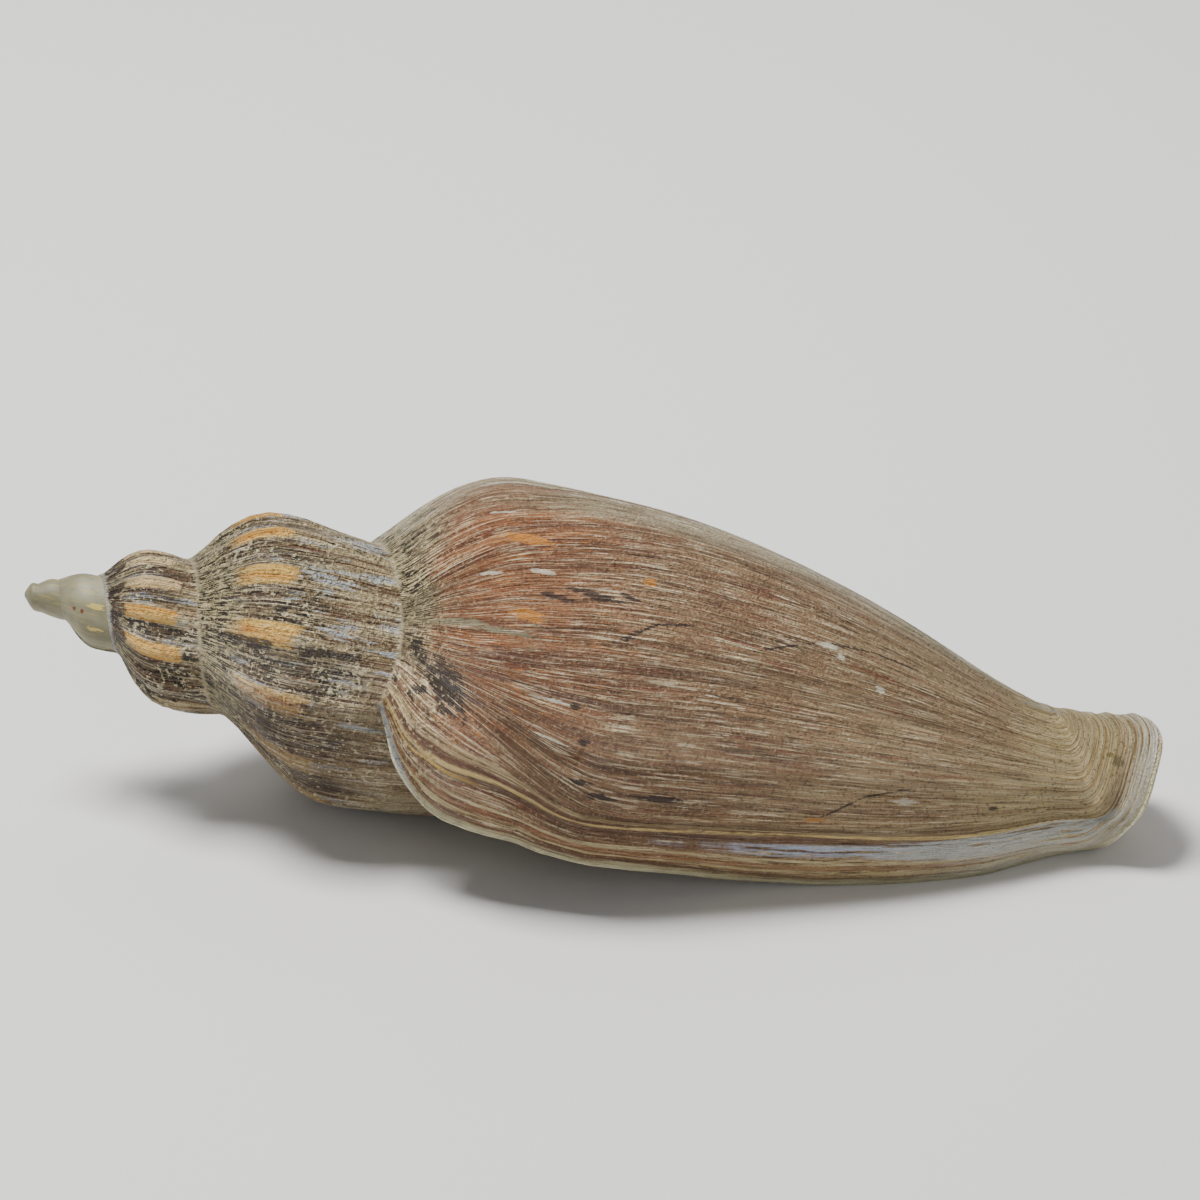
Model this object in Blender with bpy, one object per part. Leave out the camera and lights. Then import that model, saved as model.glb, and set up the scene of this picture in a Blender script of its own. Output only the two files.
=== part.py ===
"""Volute shell: one long-spired sea snail shell, empty and open, lying on its mouth.

The shell grows as one strip that winds round a straight axis.  The back edge of each turn
is welded to the front edge of the turn before it, which gives the suture.  The last turn
runs out to the front end and stops at the outer lip.  A second, smaller strip is the hollow
that the animal lived in: from the mouth it winds a little over one turn back, and it is cut
out of the first.

Lengths are in millimetres and angles in degrees until a point is placed in metres.
The growth angle is 0 where the lip meets the spire and falls by 360 for each turn towards
the apex.  The axis runs along +X from the apex, and growing turns the wall from the top,
over the near side, to the bottom.
"""

import math

import bmesh
import bpy
from mathutils import Matrix, Vector

MM = 0.001
TURN = 360.0

# Growth: each half turn back from TOP shrinks the shell by these shares.
TOP = -110.0                 # growth angle of the widest outline of the last whorl
TOP_RADIUS = 28.0            # radius of the shoulder there
TOP_SHOULDER = 63.0          # distance of the shoulder from the apex there
TOP_SUTURE = 46.9            # distance of the suture from the apex there
TOP_END = 159.0              # distance of the front end from the apex there
RADIUS_RATE = 0.255
RADIUS_SLOWING = 0.0125
LAST_RADIUS_RATE = 0.153     # from TOP on, the shell widens less
SUTURE_RATE = 0.375
SUTURE_OFFSET = 0.7
SHOULDER_RATIO = 1.41
LAST_SHOULDER_RATIO = 1.19
END_RATIO = 1.37
HIGH_SUTURE = 1.8            # the last suture but one bends this far towards the apex
LIP_CLIMB = 0.117            # share by which the last suture climbs back at the lip
APEX_ANGLE = -2090.0
NUCLEUS_ANGLE = -1730.0      # before this angle the turns share the apex point
NUCLEUS_SPAN = 240.0
BULB = 0.85                  # extra radius of the smooth first whorls, which also sit further back

# Body: behind the shoulder the wall falls to a neck, then runs level to the end.
NECK_PLACE = 0.834
NECK_SHARE = 0.34
PILLAR_SHARE = 0.16          # what is left of the neck in the mouth, where only the pillar is
PILLAR_FROM = -150.0
PILLAR_SPAN = 150.0
FASCIOLE_LENGTH = 12.0       # the neck swells again over the last stretch before the end
FASCIOLE_HEIGHT = 0.9

# Ribs of the spire
RIBS = 13
RIB_HEIGHT = 0.8
RIB_CREST_ROW = -69
RIBS_BEGIN = -1130.0
RIBS_FADE = -330.0
RIB_SPAN = 240.0

# Outer lip: distance from the apex, growth angle of its edge, radius
LIP = (
    (52.2, 0.0, 18.4), (56.0, 17.0, 22.4), (60.8, 28.0, 25.6), (66.1, 30.0, 28.1),
    (72.0, 30.0, 29.4), (83.6, 31.5, 30.4), (97.6, 38.0, 26.9), (106.0, 43.0, 24.6),
    (114.4, 45.5, 23.0), (122.6, 46.0, 21.4), (130.9, 46.5, 19.4), (139.0, 48.0, 16.7),
    (144.2, 52.0, 13.7), (149.4, 58.0, 10.45), (154.7, 66.0, 8.0),
)
FURROW_BEHIND_LIP = 12.5     # a resting line runs along the lip this far behind its edge
FURROW_WIDTH = 4.5
FURROW_DEPTH = 0.6

# Front end: growth angle, distance from the apex
FRONT = (
    (-370.0, 154.0), (-296.0, 151.5), (-220.0, 153.5), (-140.0, 157.0), (-110.0, 158.0),
    (-70.0, 160.4), (-35.0, 160.2), (-4.0, 159.4), (24.0, 157.2), (64.0, 154.7),
)
PILLAR_END = 156.0           # distance of the tip of the pillar from the apex

# Hollow
WALL = 1.7
LIP_WALL = 1.15
LIP_TAPER = 25.0             # angle over which the wall thins to the lip
GLAZE = 0.5                  # thickness laid on the whorl below
PILLAR_CORE = 0.12           # radius of the pillar as a share of the shoulder's
HOLLOW_START = -410.0
HOLLOW_LEAST = 0.5
HOLLOW_BEHIND_NECK = 7.7
CANAL_LENGTH = 38.0
CANAL_FROM = -200.0
CANAL_SPAN = 80.0
MOUTH_OVERSHOOT = 9.0
FRONT_OVERSHOOT = 166.0

# How it lies
ROLL = 79.6                  # azimuth of growth angle 0, from the top
PITCH = 8.7                  # front end down
WORN_FLAT = 0.75             # depth worn off where the shell lies

ROWS_PER_TURN = 65
SPIRE_PLACES = (0.0, 0.1, 0.22, 0.37, 0.58, 0.8, 1.0)
BODY_COLUMNS = 20
CAP_COLUMNS = 2
MOUTH_ROWS = 3
HOLLOW_STEP = 10.5
HOLLOW_COLUMNS = 12
LEAD_SPAN = 120.0
WELD = 1e-6
SHARP_EDGE = 50.0

STEP = TURN / ROWS_PER_TURN
FIRST_ROW = round(APEX_ANGLE / STEP)
RIB_CREST = RIB_CREST_ROW * STEP


def ease(x):
    x = min(max(x, 0.0), 1.0)
    return x * x * (3.0 - 2.0 * x)


def along(stations, x, item):
    """Smooth curve through the stations, read at x."""
    last = len(stations) - 1
    if x <= stations[0][0]:
        return stations[0][item]
    if x >= stations[last][0]:
        return stations[last][item]
    i = next(n for n in range(last) if x <= stations[n + 1][0])

    def slope(n):
        a, b = stations[max(n - 1, 0)], stations[min(n + 1, last)]
        return (b[item] - a[item]) / (b[0] - a[0])

    h = stations[i + 1][0] - stations[i][0]
    t = (x - stations[i][0]) / h
    return (
        stations[i][item] * (1 + 2 * t) * (1 - t) ** 2
        + h * slope(i) * t * (1 - t) ** 2
        + stations[i + 1][item] * t * t * (3 - 2 * t)
        + h * slope(i + 1) * t * t * (t - 1)
    )


def half_turns(angle):
    return (TOP - angle) / 180.0


def suture_x(angle):
    angle = min(angle, 0.0)
    k = half_turns(angle)
    x = (TOP_SUTURE + SUTURE_OFFSET) * math.exp(-SUTURE_RATE * k) - SUTURE_OFFSET
    if 0.0 < k < 2.0:
        x -= HIGH_SUTURE * math.sin(math.pi * k / 2.0) ** 2
    if angle > TOP:
        x *= 1.0 - LIP_CLIMB * ((angle - TOP) / -TOP) ** 4
    return x * ease((angle - NUCLEUS_ANGLE + NUCLEUS_SPAN / 4) / NUCLEUS_SPAN)


def shoulder_radius(angle):
    k = half_turns(angle)
    if k < 0.0:
        return TOP_RADIUS * math.exp(-LAST_RADIUS_RATE * k)
    r = TOP_RADIUS * math.exp(-RADIUS_RATE * k - RADIUS_SLOWING * k * (k - 1.0))
    r += BULB * ease((k - 7.0) / 1.5)
    return r * math.sqrt(min(1.0, (11.3 - k) / 1.9))


def shoulder_x(angle):
    k = half_turns(angle)
    x = TOP_SHOULDER * (LAST_SHOULDER_RATIO if k < 0.0 else SHOULDER_RATIO) ** -k
    return x - BULB * ease((k - 7.0) / 3.0)


def neck_x(angle):
    end = TOP_END * END_RATIO ** -max(half_turns(angle), 0.0)
    return shoulder_x(angle) + NECK_PLACE * (end - shoulder_x(angle))


def whorl_radius(angle, x, suture_r):
    """Radius of a smooth whorl: it climbs from its suture to the shoulder, then falls away."""
    top = shoulder_radius(angle)
    start, peak = suture_x(angle), shoulder_x(angle)
    if x < peak:
        q = max(0.0, (x - start) / max(peak - start, WELD))
        climb = 0.75 * math.sin(0.5 * math.pi * q) + 0.25 * ease(q)
        return suture_r + (top - suture_r) * climb
    z = min(1.0, (x - peak) / (neck_x(angle) - peak))
    slim = ease((PILLAR_FROM - angle) / PILLAR_SPAN)
    neck = NECK_SHARE + (PILLAR_SHARE - NECK_SHARE) * slim
    return top * (neck + (1.0 - neck) * (1.0 - z ** 2.6) ** 1.35)


suture_radii = {}


def suture_radius(row):
    """Each whorl sits on the one before it, so its suture has that whorl's radius there."""
    if row * STEP < NUCLEUS_ANGLE:
        return 0.0
    if row not in suture_radii:
        below = row - ROWS_PER_TURN
        suture_radii[row] = whorl_radius(below * STEP, suture_x(row * STEP), suture_radius(below))
    return suture_radii[row]


def suture_radius_at(angle):
    if angle >= 0.0:
        return suture_radius(0)
    row = math.floor(angle / STEP)
    part = angle / STEP - row
    return suture_radius(row) * (1.0 - part) + suture_radius(row + 1) * part


def front_x(angle):
    return along(FRONT, angle, 1)


def rib(angle, x):
    """Height of the ribs that run along the whorls of the spire."""
    born = ease((angle - RIBS_BEGIN) / RIB_SPAN)
    faded = ease((angle - RIBS_FADE) / RIB_SPAN)
    q = (x - suture_x(angle)) / (shoulder_x(angle) - suture_x(angle))
    span = ease(q / 0.45) * (1.0 - ease((q - 1.3) / 0.9))
    wave = 0.5 + 0.5 * math.cos(math.radians(RIBS * (angle - RIB_CREST)))
    size = shoulder_radius(angle) / shoulder_radius(RIB_CREST)
    return RIB_HEIGHT * size * born * (1.0 - faded) * span * (wave ** 1.3 - 0.35)


def fasciole(angle, x):
    """Swelling round the front end, left by the edge of the canal as the shell grew."""
    whole = 1.0 - ease((PILLAR_FROM - angle) / PILLAR_SPAN)
    return FASCIOLE_HEIGHT * whole * ease(1.0 + (x - front_x(angle)) / FASCIOLE_LENGTH)


def wall_radius(angle, x):
    """Outer surface of the shell at a growth angle and a distance from the apex."""
    r = whorl_radius(angle, x, suture_radius_at(angle)) + rib(angle, x) + fasciole(angle, x)
    if angle > TOP:
        lip_angle = along(LIP, x, 1)
        share = min(1.0, (angle - TOP) / (lip_angle - TOP))
        plain = whorl_radius(lip_angle, x, suture_radius(0))
        off_suture = ease((x - suture_x(angle)) / 4.0)
        r += (along(LIP, x, 2) - plain) * share ** 2 * off_suture
        behind = (lip_angle - angle - FURROW_BEHIND_LIP) / FURROW_WIDTH
        r -= FURROW_DEPTH * math.exp(-behind * behind) * off_suture
    return r


def place(angle, x, r):
    """A point in the shell's own frame, in metres."""
    turn = math.radians(angle + ROLL)
    return Vector((x, -r * math.sin(turn), r * math.cos(turn))) * MM


def lip_share(row_angle):
    """How far a row leans forward like the lip: fully at the lip and one turn before it."""
    before_lip = 1.0 + row_angle / LEAD_SPAN
    past_corner = 1.0 - (row_angle + TURN) / LEAD_SPAN if row_angle >= -TURN else 0.0
    return ease(max(before_lip, past_corner))


def lean(row_angle, start, part):
    """Growth angle and distance from the apex at a part of the way from start to the end."""
    share = lip_share(row_angle)
    corner, tip = LIP[0], LIP[-1]
    end = front_x(row_angle + share * tip[1])
    angle = row_angle + share * along(LIP, corner[0] + (tip[0] - corner[0]) * part, 1)
    return angle, start + (end - start) * part


def spire_end(row_angle):
    """Where the spire's columns end: at the next suture, then on a line to the lip's corner."""
    if row_angle <= -TURN:
        return suture_x(row_angle + TURN)
    left = 1.0 - ((row_angle + TURN) / TURN) ** 3
    return suture_x(row_angle) + (suture_x(0.0) - suture_x(-TURN)) * left


def add_grid(bm, rows, columns, point):
    """A sheet of rows and columns, each corner put where point(row, column) says."""
    sheet = bmesh.ops.create_grid(bm, x_segments=rows, y_segments=columns, size=0.5)
    for vertex in sheet["verts"]:
        row = round((vertex.co.x + 0.5) * rows)
        column = round((vertex.co.y + 0.5) * columns)
        vertex.co = point(row, column)


def spire_point(row, column):
    row += FIRST_ROW
    angle = row * STEP
    start, end = suture_x(angle), spire_end(angle)
    if column == 0:
        return place(angle, start, suture_radius(row))
    if column == len(SPIRE_PLACES) - 1 and row <= -ROWS_PER_TURN:
        return place(angle, end, suture_radius(row + ROWS_PER_TURN))
    x = start + (end - start) * SPIRE_PLACES[column]
    if angle > -TURN / 2:
        part = (x - start) / (front_x(angle) - start)
        angle = lean(angle, start, part)[0]
    return place(angle, x, wall_radius(angle, x))


def body_point(row, column):
    row_angle = (row - ROWS_PER_TURN) * STEP
    start = spire_end(row_angle)
    if column == 0:
        return spire_point(row - ROWS_PER_TURN - FIRST_ROW, len(SPIRE_PLACES) - 1)
    part = min(1.0, column / BODY_COLUMNS)
    if row_angle > -TURN / 2:
        back = suture_x(row_angle)
        front = front_x(row_angle)
        part = (start + (front - start) * part - back) / (front - back)
        angle, x = lean(row_angle, back, part)
    else:
        angle, x = lean(row_angle, start, part)
    r = wall_radius(angle, x)
    inward = max(0.0, (column - BODY_COLUMNS) / CAP_COLUMNS)
    return place(angle, x + (PILLAR_END - x) * inward * (2.0 - inward), r * (1.0 - inward))


def mouth_point(row, column):
    """The flat skin over the mouth, from the lip to the pillar, which the hollow cuts away."""
    lip = body_point(ROWS_PER_TURN, column)
    pillar = body_point(0, column)
    return lip.lerp(pillar, row / MOUTH_ROWS)


def hollow_limits(row_angle):
    front = neck_x(row_angle) - HOLLOW_BEHIND_NECK
    front += CANAL_LENGTH * ease((row_angle - CANAL_FROM) / CANAL_SPAN)
    return suture_x(row_angle), min(front, FRONT_OVERSHOOT)


def hollow_sides(angle, x):
    """Outer and inner radius of the hollow."""
    slope = (wall_radius(angle, x + 0.5) - wall_radius(angle, x - 0.5))
    to_lip = ease((along(LIP, x, 1) - angle) / LIP_TAPER)
    wall = LIP_WALL + (WALL - LIP_WALL) * to_lip
    outer = wall_radius(angle, x) - wall * math.hypot(1.0, slope)
    inner = max(wall_radius(angle - TURN, x) + GLAZE, PILLAR_CORE * shoulder_radius(angle))
    return outer, inner


def hollow_angle(row_angle, x):
    back = suture_x(row_angle)
    part = (x - back) / (front_x(row_angle) - back)
    return lean(row_angle, back, min(1.0, part))[0] if row_angle < 0.0 else (
        row_angle + along(LIP, x, 1)
    )


def hollow_ring(row_angle):
    """Section of the hollow: out along its outer side, back along the whorl below."""
    back, front = hollow_limits(row_angle)

    def gap(x):
        outer, inner = hollow_sides(hollow_angle(row_angle, x), x)
        return outer - inner

    while gap(back) < HOLLOW_LEAST:
        back += 0.25
    while gap(front) < HOLLOW_LEAST:
        front -= 0.25
    places = [
        back + (front - back) * 0.5 * (1.0 - math.cos(math.pi * n / HOLLOW_COLUMNS))
        for n in range(HOLLOW_COLUMNS + 1)
    ]
    ring = []
    for x in places:
        angle = hollow_angle(row_angle, x)
        ring.append(place(angle, x, hollow_sides(angle, x)[0]))
    for x in reversed(places):
        angle = hollow_angle(row_angle, x)
        ring.append(place(angle, x, hollow_sides(angle, x)[1]))
    return ring


def lay_down(bm):
    bmesh.ops.remove_doubles(bm, verts=bm.verts, dist=WELD)
    bmesh.ops.rotate(bm, verts=bm.verts, matrix=Matrix.Rotation(math.radians(PITCH), 3, "Y"))


def wear_flat(bm):
    """Cut a thin slice off the underside, where the shell rubs on what it lies on."""
    lowest = min(vertex.co.z for vertex in bm.verts)
    bmesh.ops.bisect_plane(
        bm,
        geom=bm.verts[:] + bm.edges[:] + bm.faces[:],
        plane_co=(0.0, 0.0, lowest + WORN_FLAT * MM),
        plane_no=(0.0, 0.0, -1.0),
        clear_outer=True,
    )


def finish_mesh(bm, name, collection):
    bmesh.ops.holes_fill(bm, edges=bm.edges)
    bmesh.ops.triangulate(bm, faces=bm.faces)
    bmesh.ops.recalc_face_normals(bm, faces=bm.faces)
    mesh = bpy.data.meshes.new(name)
    bm.to_mesh(mesh)
    bm.free()
    mesh.shade_smooth()
    mesh.set_sharp_from_angle(angle=math.radians(SHARP_EDGE))
    obj = bpy.data.objects.new(name, mesh)
    collection.objects.link(obj)
    return obj


def outer_body(collection):
    bm = bmesh.new()
    add_grid(bm, -FIRST_ROW, len(SPIRE_PLACES) - 1, spire_point)
    add_grid(bm, ROWS_PER_TURN, BODY_COLUMNS + CAP_COLUMNS, body_point)
    add_grid(bm, MOUTH_ROWS, BODY_COLUMNS + CAP_COLUMNS, mouth_point)
    lay_down(bm)
    wear_flat(bm)
    return finish_mesh(bm, "shell", collection)


def hollow(collection):
    rows = round((MOUTH_OVERSHOOT - HOLLOW_START) / HOLLOW_STEP)
    rings = [
        hollow_ring(HOLLOW_START + (MOUTH_OVERSHOOT - HOLLOW_START) * n / rows)
        for n in range(rows + 1)
    ]
    around = len(rings[0])
    bm = bmesh.new()
    add_grid(bm, rows, around, lambda row, column: rings[row][column % around])
    lay_down(bm)
    obj = finish_mesh(bm, "hollow", collection)
    obj.hide_render = True
    obj.display_type = "WIRE"
    return obj


def cut(obj, cutter):
    boolean = obj.modifiers.new("cut " + cutter.name, "BOOLEAN")
    boolean.operation = "DIFFERENCE"
    boolean.solver = "EXACT"
    boolean.object = cutter


def stand_at_origin(shell, others):
    """Move the shell so that its box stands on the origin, and the others with it."""
    corners = [vertex.co for vertex in shell.data.vertices]
    low = Vector(min(corner[axis] for corner in corners) for axis in range(3))
    high = Vector(max(corner[axis] for corner in corners) for axis in range(3))
    middle = (low + high) / 2.0
    shift = Matrix.Translation((-middle.x, -middle.y, -low.z))
    for obj in (shell, *others):
        obj.data.transform(shift)


def shell_material():
    material = bpy.data.materials.new("shell")
    material.use_nodes = True
    surface = material.node_tree.nodes["Principled BSDF"]
    surface.inputs["Base Color"].default_value = (0.26, 0.17, 0.10, 1.0)
    surface.inputs["Roughness"].default_value = 0.55
    surface.inputs["Metallic"].default_value = 0.0
    return material


def build():
    for obj in list(bpy.data.objects):
        bpy.data.objects.remove(obj)
    parts = bpy.data.collections.new("volute shell")
    cutters = bpy.data.collections.new("cutters")
    bpy.context.scene.collection.children.link(parts)
    bpy.context.scene.collection.children.link(cutters)
    shell = outer_body(parts)
    inside = hollow(cutters)
    stand_at_origin(shell, [inside])
    shell.data.materials.append(shell_material())
    cut(shell, inside)


build()
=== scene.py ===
import math

import bmesh
import bpy
from mathutils import Matrix, Vector, noise


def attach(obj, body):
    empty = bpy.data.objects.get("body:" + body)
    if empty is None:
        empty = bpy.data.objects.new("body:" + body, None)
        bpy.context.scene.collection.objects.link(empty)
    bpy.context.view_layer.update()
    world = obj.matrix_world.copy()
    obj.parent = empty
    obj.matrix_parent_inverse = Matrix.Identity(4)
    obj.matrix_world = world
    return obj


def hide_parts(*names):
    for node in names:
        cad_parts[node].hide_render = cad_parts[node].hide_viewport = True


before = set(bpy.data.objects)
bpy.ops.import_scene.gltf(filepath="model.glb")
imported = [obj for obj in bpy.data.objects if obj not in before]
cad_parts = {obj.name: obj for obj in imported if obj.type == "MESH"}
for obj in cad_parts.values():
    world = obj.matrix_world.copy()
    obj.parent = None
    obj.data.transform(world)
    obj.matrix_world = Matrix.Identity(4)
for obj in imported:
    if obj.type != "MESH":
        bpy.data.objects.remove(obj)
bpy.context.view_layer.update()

# The way the shell grows.
# A sea snail adds lime at its lip and turns as it does so, so one strip winds round a straight
# axis and each whorl is stuck to the one before it.  Lengths here are in millimetres and angles
# in degrees: the growth angle is 0 where the lip meets the spire and falls by 360 each turn back.
MM = 0.001
TURN = 360.0
ROWS_PER_TURN = 400
STEP = TURN / ROWS_PER_TURN
WELD = 1e-6


def ease(x):
    x = min(max(x, 0.0), 1.0)
    return x * x * (3.0 - 2.0 * x)


def along(stations, x, item):
    """Smooth curve through the stations, read at x."""
    last = len(stations) - 1
    if x <= stations[0][0]:
        return stations[0][item]
    if x >= stations[last][0]:
        return stations[last][item]
    i = next(n for n in range(last) if x <= stations[n + 1][0])

    def slope(n):
        a, b = stations[max(n - 1, 0)], stations[min(n + 1, last)]
        return (b[item] - a[item]) / (b[0] - a[0])

    h = stations[i + 1][0] - stations[i][0]
    t = (x - stations[i][0]) / h
    return (
        stations[i][item] * (1 + 2 * t) * (1 - t) ** 2
        + h * slope(i) * t * (1 - t) ** 2
        + stations[i + 1][item] * t * t * (3 - 2 * t)
        + h * slope(i + 1) * t * t * (t - 1)
    )


TOP = -110.0                     # growth angle where the last whorl stands widest


def half_turns(angle):
    """Half turns back from the top."""
    return (TOP - angle) / 180.0


TOP_SUTURE = 46.9
SUTURE_OFFSET = 0.7
SUTURE_RATE = 0.375
HIGH_SUTURE = 1.8
LIP_CLIMB = 0.117
NUCLEUS_ANGLE = -1730.0          # the first whorls close to a point from here back
NUCLEUS_SPAN = 240.0


def suture_x(angle):
    angle = min(angle, 0.0)
    k = half_turns(angle)
    x = (TOP_SUTURE + SUTURE_OFFSET) * math.exp(-SUTURE_RATE * k) - SUTURE_OFFSET
    if 0.0 < k < 2.0:
        x -= HIGH_SUTURE * math.sin(math.pi * k / 2.0) ** 2
    if angle > TOP:
        x *= 1.0 - LIP_CLIMB * ((angle - TOP) / -TOP) ** 4
    return x * ease((angle - NUCLEUS_ANGLE + NUCLEUS_SPAN / 4) / NUCLEUS_SPAN)


TOP_RADIUS = 28.0
RADIUS_RATE = 0.255
RADIUS_SLOWING = 0.0125
LAST_RADIUS_RATE = 0.153
BULB = 1.15                      # the first whorls are swollen
BULB_FROM = 7.0
BULB_SPAN = 1.5
APEX_AT = 11.3
APEX_SPAN = 1.9
APEX_POWER = 0.38


def shoulder_radius(angle):
    k = half_turns(angle)
    if k < 0.0:
        return TOP_RADIUS * math.exp(-LAST_RADIUS_RATE * k)
    r = TOP_RADIUS * math.exp(-RADIUS_RATE * k - RADIUS_SLOWING * k * (k - 1.0))
    r += BULB * ease((k - BULB_FROM) / BULB_SPAN)
    return r * min(1.0, (APEX_AT - k) / APEX_SPAN) ** APEX_POWER


TOP_SHOULDER = 63.0
SHOULDER_RATIO = 1.41
LAST_SHOULDER_RATIO = 1.19


def shoulder_x(angle):
    k = half_turns(angle)
    x = TOP_SHOULDER * (LAST_SHOULDER_RATIO if k < 0.0 else SHOULDER_RATIO) ** -k
    return x - BULB * ease((k - BULB_FROM) / (2.0 * BULB_SPAN))


TOP_END = 159.0
END_RATIO = 1.37
NECK_PLACE = 0.834


def neck_x(angle):
    end = TOP_END * END_RATIO ** -max(half_turns(angle), 0.0)
    return shoulder_x(angle) + NECK_PLACE * (end - shoulder_x(angle))


ARCH = 0.75
FLAT_CLIMB = 0.2                 # the older whorl climbs less steeply where the shell lies on it
LOW_SIDE = (-350.0, -225.0)
LOW_SPAN = 40.0
NECK_SHARE = 0.34
PILLAR_SHARE = 0.16
PILLAR_FROM = -150.0
PILLAR_SPAN = 150.0
FALL_POWER = 2.6
NECK_POWER = 1.35


def profile_radius(angle, x, suture_r):
    """Radius of a whorl: it climbs from its suture to the shoulder, then falls away."""
    top = shoulder_radius(angle)
    start, peak = suture_x(angle), shoulder_x(angle)
    if x < peak:
        q = max(0.0, (x - start) / max(peak - start, WELD))
        climb = ARCH * math.sin(0.5 * math.pi * q) + (1.0 - ARCH) * ease(q)
        low = ease((angle - LOW_SIDE[0]) / LOW_SPAN) * ease((LOW_SIDE[1] - angle) / LOW_SPAN)
        climb -= FLAT_CLIMB * low * math.sin(math.pi * q)
        return suture_r + (top - suture_r) * climb
    z = min(1.0, (x - peak) / (neck_x(angle) - peak))
    slim = ease((PILLAR_FROM - angle) / PILLAR_SPAN)
    neck = NECK_SHARE + (PILLAR_SHARE - NECK_SHARE) * slim
    return top * (neck + (1.0 - neck) * (1.0 - z ** FALL_POWER) ** NECK_POWER)


SHOULDER_ROUND = 0.14


def whorl_radius(angle, x, suture_r):
    """The same with its shoulder rounded over."""
    reach = min(SHOULDER_ROUND * shoulder_radius(angle), (x - suture_x(angle)) / 2.0)
    if reach <= 0.0:
        return profile_radius(angle, x, suture_r)
    parts = [profile_radius(angle, x + reach * share, suture_r) for share in (-1.0, -0.4, 0.4, 1.0)]
    return sum(parts) / len(parts)


suture_radii = {}


def suture_radius(row):
    """Each whorl sits on the one before it, so its suture has that whorl's radius there."""
    if row * STEP < NUCLEUS_ANGLE:
        return 0.0
    if row not in suture_radii:
        below = row - ROWS_PER_TURN
        suture_radii[row] = whorl_radius(below * STEP, suture_x(row * STEP), suture_radius(below))
    return suture_radii[row]


def suture_radius_at(angle):
    if angle >= 0.0:
        return suture_radius(0)
    row = math.floor(angle / STEP)
    part = angle / STEP - row
    return suture_radius(row) * (1.0 - part) + suture_radius(row + 1) * part


FRONT = (                        # growth angle, distance of the front end from the apex
    (-370.0, 154.0), (-296.0, 151.5), (-220.0, 153.5), (-140.0, 157.0), (-110.0, 158.0),
    (-70.0, 160.4), (-35.0, 160.2), (-4.0, 159.4), (24.0, 157.2), (64.0, 154.7),
)
FASCIOLE_LENGTH = 12.0
FASCIOLE_HEIGHT = 0.9


def front_x(angle):
    return along(FRONT, angle, 1)


def fasciole(angle, x):
    """Swelling round the front end, left by the edge of the canal as the shell grew."""
    whole = 1.0 - ease((PILLAR_FROM - angle) / PILLAR_SPAN)
    return FASCIOLE_HEIGHT * whole * ease(1.0 + (x - front_x(angle)) / FASCIOLE_LENGTH)


RIBS = 13                        # in a turn
RIB_HEIGHT = 1.35
LAST_RIB_HEIGHT = 0.8
LAST_RIBS_FROM = -345.0
LAST_RIBS_SPAN = 40.0
RIB_CREST = -69 * TURN / 65
RIB_DRIFT = 3.0
RIBS_BEGIN = -1130.0
RIBS_FADE = -330.0
RIB_SPAN = 240.0


def rib_crest(angle):
    """1 on the crest of a rib, 0 midway between two; the ribs aren't quite evenly spaced."""
    drift = RIB_DRIFT * noise.noise(Vector((angle / 37.0, 4.0, 0.0)))
    return 0.5 + 0.5 * math.cos(math.radians(RIBS * (angle - RIB_CREST + drift)))


def rib_strength(angle, x):
    born = ease((angle - RIBS_BEGIN) / RIB_SPAN)
    faded = ease((angle - RIBS_FADE) / RIB_SPAN)
    q = (x - suture_x(angle)) / (shoulder_x(angle) - suture_x(angle))
    span = ease(q / 0.45) * (1.0 - ease((q - 1.3) / 0.9))
    return born * (1.0 - faded) * span


def rib(angle, x):
    size = (shoulder_radius(angle) / shoulder_radius(RIB_CREST)) ** 0.7
    vary = 1.0 + 0.35 * noise.noise(Vector((angle / 24.0, 9.0, 0.0)))
    older = ease((LAST_RIBS_FROM - angle) / LAST_RIBS_SPAN)
    tall = LAST_RIB_HEIGHT + (RIB_HEIGHT - LAST_RIB_HEIGHT) * older
    return tall * size * vary * rib_strength(angle, x) * (rib_crest(angle) ** 1.6 - 0.3)


LIP = (                          # distance from the apex, growth angle, radius
    (52.2, 0.0, 18.4), (56.0, 17.0, 22.4), (60.8, 27.6, 25.3), (66.1, 29.4, 27.7),
    (72.0, 29.4, 28.9), (83.6, 31.0, 30.0), (97.6, 37.6, 26.7), (106.0, 43.0, 24.6),
    (114.4, 45.5, 23.0), (122.6, 46.0, 21.4), (130.9, 46.5, 19.4), (139.0, 48.0, 16.7),
    (144.2, 52.0, 13.7), (149.4, 58.0, 10.45), (154.7, 66.0, 8.0),
)
LIP_WAVE = 0.7                   # degrees by which the edge of the lip wavers
LIP_BACK = 1.2                   # degrees that its rounded edge stands back
LIP_CORNER = 53.0                # up to here the edge is stuck to the spire and stays even
LIP_CORNER_SPAN = 5.0


def lip_angle(x):
    waver = noise.noise(Vector((x * 0.21, 7.0, 0.0)))
    waver += 0.5 * noise.noise(Vector((x * 0.6, 8.0, 0.0)))
    free = ease((x - LIP_CORNER) / LIP_CORNER_SPAN)
    return along(LIP, x, 1) + (LIP_WAVE * waver - LIP_BACK) * free


def wall_radius(angle, x):
    """Outer surface of the shell, before its fine relief."""
    r = whorl_radius(angle, x, suture_radius_at(angle)) + rib(angle, x) + fasciole(angle, x)
    if angle > TOP:
        end = lip_angle(x)
        share = min(1.0, (angle - TOP) / (end - TOP))
        plain = whorl_radius(end, x, suture_radius(0))
        r += (along(LIP, x, 2) - plain) * share ** 2 * ease((x - suture_x(angle)) / 4.0)
    return r


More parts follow.
